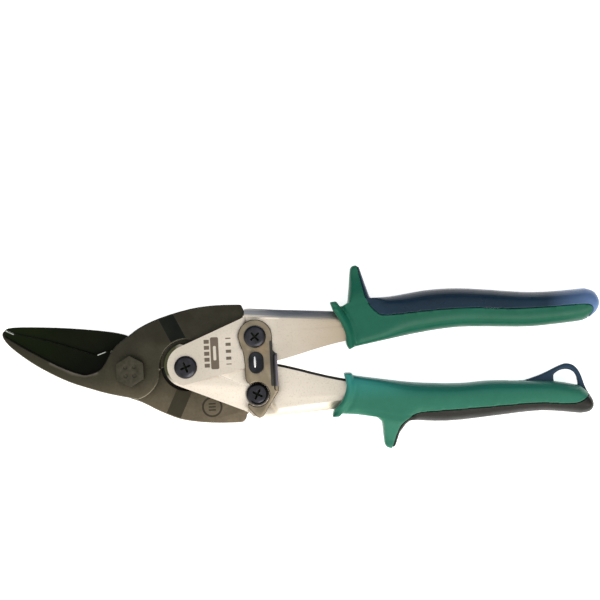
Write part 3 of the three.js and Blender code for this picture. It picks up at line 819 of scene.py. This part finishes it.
def handle_channel(name, node, body, side, *skins):
    """The pressed channel, with a fold along its closed edge and a dark inside."""
    bm = cad_copy(node)
    line = outer_line(bm, side)
    cut_along(bm, line, side)
    for v in bm.verts:
        if side == UP and v.co.x < CORNER.x and v.co.y > CORNER.y:
            v.co.x -= CORNER_STRETCH
    fold_down(bm, line)
    for face in bm.faces:
        inwards = face.normal.z * (face.calc_center_median().z - BLADE_PIVOT.z) < 0
        face.material_index = 1 if abs(face.normal.z) > 0.9 and inwards else 0
    bm.normal_update()
    piece = object_from(bm, name)
    bevelled(piece, EDGE_BREAK, 2, 45)
    smooth_shade(piece)
    place(piece, node, body, "bright_sheet", *skins)


def make_channels(materials):
    skins = materials["bright"], materials["inside"]
    handle_channel("upper_channel_pressing", "upper_handle_channel", UPPER_HANDLE, UP, *skins)
    skins = materials["light"], materials["inside"]
    handle_channel("lower_channel_pressing", "lower_handle_channel", LOWER_HANDLE, DOWN, *skins)


# ---- Grips ---------------------------------------------------------------------------------------
# A grip's cross-section is a superellipse, |u|^power + |v|^power = 1. It is boxy at the collar and
# oval along the hand. u is the distance from the grip's middle line as a share of its half width,
# and v is the distance from the middle plane as a share of its half depth.

BOXY = 8.0
OVAL = 2.7
SQUARE = 30.0
ROUND_FROM = 93 * MM
ROUND_FULL = 118 * MM
NEAR_AXIS = 0.05

# The CAD section is a rectangle with elliptic corners of this size.
CORNER_WIDTH = 2.4 * MM
CORNER_DEPTH = 3 * MM

# The CAD grip is measured at this height over its middle plane, at this many places.
SAMPLE_HEIGHT = 6.2 * MM
SAMPLES = 120
SAMPLE_MARGINS = (1 * MM, 0.6 * MM)
SAMPLE_REACH = 0.05
SMOOTHING = 7

# Each thumb horn: where its root starts and ends along the grip, and which edge it stands on.
UPPER_HORN = (91 * MM, 101 * MM, 1)
LOWER_HORN = (102 * MM, 113 * MM, -1)
HORN_EASE = 8 * MM

# Past u = HORN_ROOT a horn is as deep as the grip, up to v = HORN_TOP, and thins out as u grows.
HORN_ROOT = 0.8
HORN_TOP = 0.99
HORN_SWELL = 1.69
HORN_FADE = 1.3
HORN_SPREAD = 0.01
HORN_SETTLED = 1.4

VOXEL = 0.38 * MM
SOFTENING_STEPS = 14

# Two mouldings stay crisp and swell a little where they meet, which closes the gap between them.
SEAM_REACH = 0.6 * MM
SEAM_SWELL = 0.14 * MM
SEAM_SOFTNESS = 0.12

# The collar's rim stands up by a share of the height, with a groove behind it; distances in mm.
BEAD_RISE = 0.1
GROOVE_DEPTH = 0.05
GROOVE_START = 1.2
GROOVE_MIDDLE = 2.4
UPPER_BEAD = ((86, 25), (87.6, 21.6), (89.5, 18.3), (91.3, 14.5), (92.3, 11), (92.4, 7.5), (93, 5.2))
LOWER_BEAD = ((84.9, -23), (87.1, -19.8), (89.7, -16.5), (91.2, -12.5), (91.5, -9.5), (90.8, -5))


def averaged(values):
    """A running mean, with the end values repeated so that the length stays."""
    kernel = np.ones(SMOOTHING) / SMOOTHING
    return np.convolve(np.pad(values, SMOOTHING // 2, mode="edge"), kernel, mode="valid")


def grip_section(shell_node, overlay_node):
    """How high the grip's middle and half width are at each place along it."""
    bm = cad_copy(shell_node, overlay_node)
    tree = BVHTree.FromBMesh(bm)
    xs = [v.co.x for v in bm.verts]
    ys = [v.co.y for v in bm.verts]
    bm.free()
    start, end = min(xs) + SAMPLE_MARGINS[0], max(xs) - SAMPLE_MARGINS[1]
    middle_y = (min(ys) + max(ys)) / 2
    z = BLADE_PIVOT.z + SAMPLE_HEIGHT
    places, middles, halves = [], [], []
    for x in np.linspace(start, end, SAMPLES):
        lower = tree.ray_cast(Vector((x, middle_y - SAMPLE_REACH, z)), Vector((0, 1, 0)))[0]
        upper = tree.ray_cast(Vector((x, middle_y + SAMPLE_REACH, z)), Vector((0, -1, 0)))[0]
        if lower is None or upper is None:
            continue
        places.append(x)
        middles.append((lower.y + upper.y) / 2)
        halves.append((upper.y - lower.y) / 2)
    return places, averaged(middles), averaged(halves)


def boxy_reach(u, v, corner_u, corner_v):
    """How far the CAD section reaches in the direction (u, v), in multiples of (u, v)."""
    if v <= u * (1 - corner_v):
        return 1 / u
    if u <= v * (1 - corner_u):
        return 1 / v
    # The ray leaves the corner's ellipse at the larger root of a quadratic.
    ray_u, ray_v = u / corner_u, v / corner_v
    centre_u, centre_v = (1 - corner_u) / corner_u, (1 - corner_v) / corner_v
    square = ray_u * ray_u + ray_v * ray_v
    middle = ray_u * centre_u + ray_v * centre_v
    constant = centre_u * centre_u + centre_v * centre_v - 1
    return (middle + math.sqrt(max(0.0, middle * middle - square * constant))) / square


def eased(value, start, end):
    """0 at start, 1 at end, with soft ends."""
    share = min(1.0, max(0.0, (value - start) / (end - start)))
    return share * share * (3 - 2 * share)


def rounded(co, section, horn, half_depth):
    """Moves a point of the boxy CAD grip so that the cross-section becomes a soft oval."""
    places, middles, halves = section
    middle = np.interp(co.x, places, middles)
    half = np.interp(co.x, places, halves)
    across, height = co.y - middle, co.z - BLADE_PIVOT.z
    start, end, horn_side = horn
    at_horn = eased(co.x, start - HORN_EASE, start) * eased(co.x, end + HORN_EASE, end)
    power = BOXY + (OVAL - BOXY) * eased(co.x, ROUND_FROM, ROUND_FULL)
    if horn_side * across > 0:
        power = 1 / (1 / power + (1 / SQUARE - 1 / power) * at_horn)
    u = abs(across) / half
    v = abs(height) / half_depth
    if max(u, v) < NEAR_AXIS:
        return co
    reach = boxy_reach(u, v, CORNER_WIDTH / half, CORNER_DEPTH / half_depth)
    scale = 1 / (reach * (u**power + v**power) ** (1 / power))
    oval = Vector((co.x, middle + across * scale, BLADE_PIVOT.z + height * scale))
    if u <= HORN_ROOT or horn_side * across <= 0:
        return oval
    swell = 1 + (HORN_SWELL - 1) * eased(u, 1 + HORN_FADE, 1)
    swell = max(1.0, min(swell, HORN_TOP / max(v, 0.01)))
    spread = 1 + HORN_SPREAD * eased(u, HORN_SETTLED, HORN_ROOT)
    root = Vector((co.x, middle + across * spread, BLADE_PIVOT.z + height * swell))
    return oval.lerp(root, at_horn)


def beaded(co, bead):
    """Raises the upper side of the collar's rim and sinks a groove behind it."""
    if co.z < BLADE_PIVOT.z:
        return co
    distance = distance_to(bead, co.xy) / MM
    behind = co.x > bead[0].x and distance > GROOVE_START
    groove = GROOVE_DEPTH * math.exp(-((distance - GROOVE_MIDDLE) ** 2)) if behind else 0
    rise = 1 + BEAD_RISE * math.exp(-(distance**2)) - groove
    co.z = BLADE_PIVOT.z + (co.z - BLADE_PIVOT.z) * rise
    return co


def grip_part(name, node, neighbour, shape, body, slot, finish):
    """One moulding of a grip; neighbour is the moulding that it meets along the seam."""
    section, horn, bead = shape
    piece = object_from(cad_copy(node), name)
    low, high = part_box(node)
    half_depth = (high.z - low.z) / 2
    remesh = piece.modifiers.new("remesh", "REMESH")
    remesh.mode = "VOXEL"
    remesh.voxel_size = VOXEL
    apply_modifiers(piece)
    other = cad_copy(neighbour)
    seam = BVHTree.FromBMesh(other)
    other.free()
    free = piece.vertex_groups.new(name="free")
    normals = [v.normal.copy() for v in piece.data.vertices]
    for v, normal in zip(piece.data.vertices, normals):
        near = seam.find_nearest(v.co, SEAM_REACH)[0]
        free.add([v.index], SEAM_SOFTNESS if near else 1.0, "REPLACE")
        swollen = v.co + normal * (SEAM_SWELL if near else 0)
        v.co = beaded(rounded(swollen, section, horn, half_depth), bead)
    soften = piece.modifiers.new("soften", "SMOOTH")
    soften.factor = 0.5
    soften.iterations = SOFTENING_STEPS
    soften.vertex_group = "free"
    apply_modifiers(piece)
    piece.data.shade_smooth()
    place(piece, node, body, slot, finish)


def make_grip(side, body, horn, bead, green, colour, finish):
    shell, overlay = f"{side}_grip_shell", f"{side}_grip_overlay"
    rim = [Vector(point) * MM for point in bead]
    shape = grip_section(shell, overlay), horn, rim
    grip_part(f"{side}_grip_green", shell, overlay, shape, body, "green_grip", green)
    grip_part(f"{side}_grip_{colour}", overlay, shell, shape, body, f"{colour}_overlay", finish)


def make_grips(materials):
    green, blue = materials["green"], materials["blue"]
    make_grip("upper", UPPER_HANDLE, UPPER_HORN, UPPER_BEAD, green, "blue", blue)
    green, grey = materials["lit_green"], materials["grey"]
    make_grip("lower", LOWER_HANDLE, LOWER_HORN, LOWER_BEAD, green, "grey", grey)


# ---- Fasteners, latch and spring -----------------------------------------------------------------

# Each screw with its nut and sleeve: its name, its place, its body and its recess's turn in degrees.
SCREW_SETS = (
    ("handle_pivot", HANDLE_PIVOT, LOWER_HANDLE, 20),
    ("lower_link", LOWER_LINK, LOWER_HANDLE, 62),
    ("upper_link", UPPER_LINK, UPPER_HANDLE, 40),
)

LATHE_STEPS = 64

# A screw's head is a rim with a dome over it.
HEAD_HEIGHT = 2 * MM
RIM_HEIGHT = 0.7 * MM
RIM_BREAK = 0.2 * MM
DOME_POWER = 0.62
DOME_STEP = 8
SHANK = 2.5 * MM
SHANK_BREAK = 0.4 * MM

# The cross recess. Its cutter narrows downwards: the foot and the mouth are shares of the recess's
# length and width, and the mouth stands clear of the head.
RECESS_LENGTH = 5.2 * MM
RECESS_WIDTH = 1.1 * MM
RECESS_DEPTH = 1.3 * MM
RECESS_FOOT = (0.35, 0.5)
RECESS_MOUTH = (1.4, 1.3)
RECESS_CLEARANCE = 1 * MM
RECESS_REACH = 0.8
SUNK = 0.06 * MM

BUTTON_ROUND = 1.4 * MM
# The bright rib on the button is a painted highlight.
RIB_HALF = (0.55 * MM, 2.5 * MM, 0.45 * MM)
RIB_OFFSET = (-0.5 * MM, 0.4 * MM)


def lathe(profile, centre):
    """A solid of revolution about a vertical axis, from a profile that starts and ends on it."""
    bm = bmesh.new()
    rings = []
    for radius, z in profile:
        if radius == 0:
            rings.append([bm.verts.new((*centre, z))])
            continue
        ring = []
        for step in range(LATHE_STEPS):
            turn = 2 * math.pi * step / LATHE_STEPS
            x, y = centre[0] + radius * math.cos(turn), centre[1] + radius * math.sin(turn)
            ring.append(bm.verts.new((x, y, z)))
        rings.append(ring)
    for below, above in zip(rings, rings[1:]):
        for i in range(LATHE_STEPS):
            j = (i + 1) % LATHE_STEPS
            corners = [below[i % len(below)], below[j % len(below)]]
            corners += [above[j % len(above)], above[i % len(above)]]
            bm.faces.new(dict.fromkeys(corners))
    bmesh.ops.recalc_face_normals(bm, faces=bm.faces)
    return bm


def recess_cutter(centre, top, turn):
    """A cross with sloping sides, as a screwdriver's tip."""
    bm = bmesh.new()
    turned = Matrix.Rotation(math.radians(turn), 3, "Z")
    rings = []
    for z, (length, width) in (
        (top - RECESS_DEPTH, RECESS_FOOT),
        (top + RECESS_CLEARANCE, RECESS_MOUTH),
    ):
        far, near = length * RECESS_LENGTH / 2, width * RECESS_WIDTH / 2
        ring = []
        for quarter in range(4):
            spin = turned @ Matrix.Rotation(math.radians(90 * quarter), 3, "Z")
            for x, y in ((far, -near), (far, near), (near, near)):
                corner = spin @ Vector((x, y, 0))
                ring.append(bm.verts.new((centre[0] + corner.x, centre[1] + corner.y, z)))
        rings.append(ring)
    below, above = rings
    bm.faces.new(list(reversed(below)))
    bm.faces.new(above)
    for i in range(len(below)):
        j = (i + 1) % len(below)
        bm.faces.new((below[i], below[j], above[j], above[i]))
    return object_from(bm, "cutter")


def screw(name, node, centre, turn, body, materials):
    """A round-headed screw, with painted shade in its cross recess, which is turned by so many degrees."""
    low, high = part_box(node)
    radius = high.x - centre.x
    seat = high.z - HEAD_HEIGHT
    rim = seat + RIM_HEIGHT
    rise = HEAD_HEIGHT - RIM_HEIGHT
    dome = []
    for angle in range(DOME_STEP, 91, DOME_STEP):
        tilt = math.radians(angle)
        dome.append((radius * math.cos(tilt) ** DOME_POWER, rim + rise * math.sin(tilt)))
    profile = [(0, low.z), (SHANK - SHANK_BREAK, low.z), (SHANK, low.z + SHANK_BREAK)]
    profile += [(SHANK, seat), (radius - RIM_BREAK, seat), (radius, seat + RIM_BREAK)]
    profile += [(radius, rim)] + dome[:-1] + [(0, high.z)]
    piece = object_from(lathe(profile, centre.xy), name)
    cutter = recess_cutter(centre, high.z, turn)
    boolean = piece.modifiers.new("recess", "BOOLEAN")
    boolean.operation = "DIFFERENCE"
    boolean.solver = "EXACT"
    boolean.object = cutter
    apply_modifiers(piece)
    bpy.data.objects.remove(cutter)
    radii, levels = zip(*sorted(dome))
    # Faces sunk in the recess get the near-black painted shade.
    for face in piece.data.polygons:
        reach = (face.center.xy - centre.xy).length
        sunk = np.interp(reach, radii, levels) - face.center.z > SUNK
        in_recess = sunk and reach < RECESS_REACH * radius and face.center.z > seat
        face.material_index = 1 if in_recess else 0
    smooth_shade(piece, 40)
    place(piece, node, body, "black_fastener", materials["black"], materials["painted_recess_shade"])


def make_fasteners(materials):
    bolt, black, zinc = materials["bolt"], materials["black"], materials["zinc"]
    machined("pivot_bolt", "blade_pivot_bolt", FRONT_BLADE, "forged_steel", bolt, 0.7 * MM, 3)
    machined("pivot_nut", "blade_pivot_nut", FRONT_BLADE, "black_fastener", black, 0.5 * MM, 3)
    for stem, centre, body, turn in SCREW_SETS:
        screw(f"{stem}_screw_head", f"{stem}_screw", centre, turn, body, materials)
        machined(f"{stem}_hex_nut", f"{stem}_nut", body, "zinc_fastener", zinc, 0.3 * MM)
        machined(f"{stem}_sleeve", f"{stem}_bush", body, "zinc_fastener", zinc, 0.2 * MM)


def thumb_button(materials):
    """A glossy boss with a bright rib on it, a painted highlight."""
    low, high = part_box("latch_thumb_button")
    middle = (low + high) / 2
    piece = object_from(cad_copy("latch_thumb_button"), "latch_button")
    bevelled(piece, BUTTON_ROUND, 6)
    rib = bmesh.new()
    bmesh.ops.create_uvsphere(rib, u_segments=24, v_segments=16, radius=1)
    crest = Vector((middle.x + RIB_OFFSET[0], middle.y + RIB_OFFSET[1], high.z))
    for v in rib.verts:
        v.co = crest + Vector([half * share for half, share in zip(RIB_HALF, v.co)])
    # The rib's bright skin is a painted highlight.
    for face in rib.faces:
        face.material_index = 1
    rib.from_mesh(piece.data)
    rib.to_mesh(piece.data)
    rib.free()
    smooth_shade(piece)
    skins = materials["button"], materials["rib_highlight"]
    place(piece, "latch_thumb_button", LATCH, "black_fastener", *skins)


def make_latch(materials):
    steel, spring = materials["latch"], materials["spring"]
    machined("latch_pressing", "latch_plate", LATCH, "latch_steel", steel, 0.45 * MM, 3, clamp=False)
    thumb_button(materials)
    machined("latch_washer", "latch_spring_washer", LATCH, "spring_steel", spring, 0.1 * MM)


def make_spring(materials):
    """The torsion spring, subdivided once, smoothed and tied to no body."""
    piece = object_from(cad_copy("return_spring"), "torsion_spring")
    subdivide = piece.modifiers.new("subdivide", "SUBSURF")
    subdivide.levels = subdivide.render_levels = 1
    apply_modifiers(piece)
    piece.data.shade_smooth()
    piece.data.materials.append(materials["spring"])
    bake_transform(piece)
    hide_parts("return_spring")


# ---- Everything ----------------------------------------------------------------------------------

make_camera()
make_sky()
make_key_light()
make_floor()
MATERIALS = make_materials()
make_blades(MATERIALS)
make_channels(MATERIALS)
make_grips(MATERIALS)
make_fasteners(MATERIALS)
make_latch(MATERIALS)
make_spring(MATERIALS)
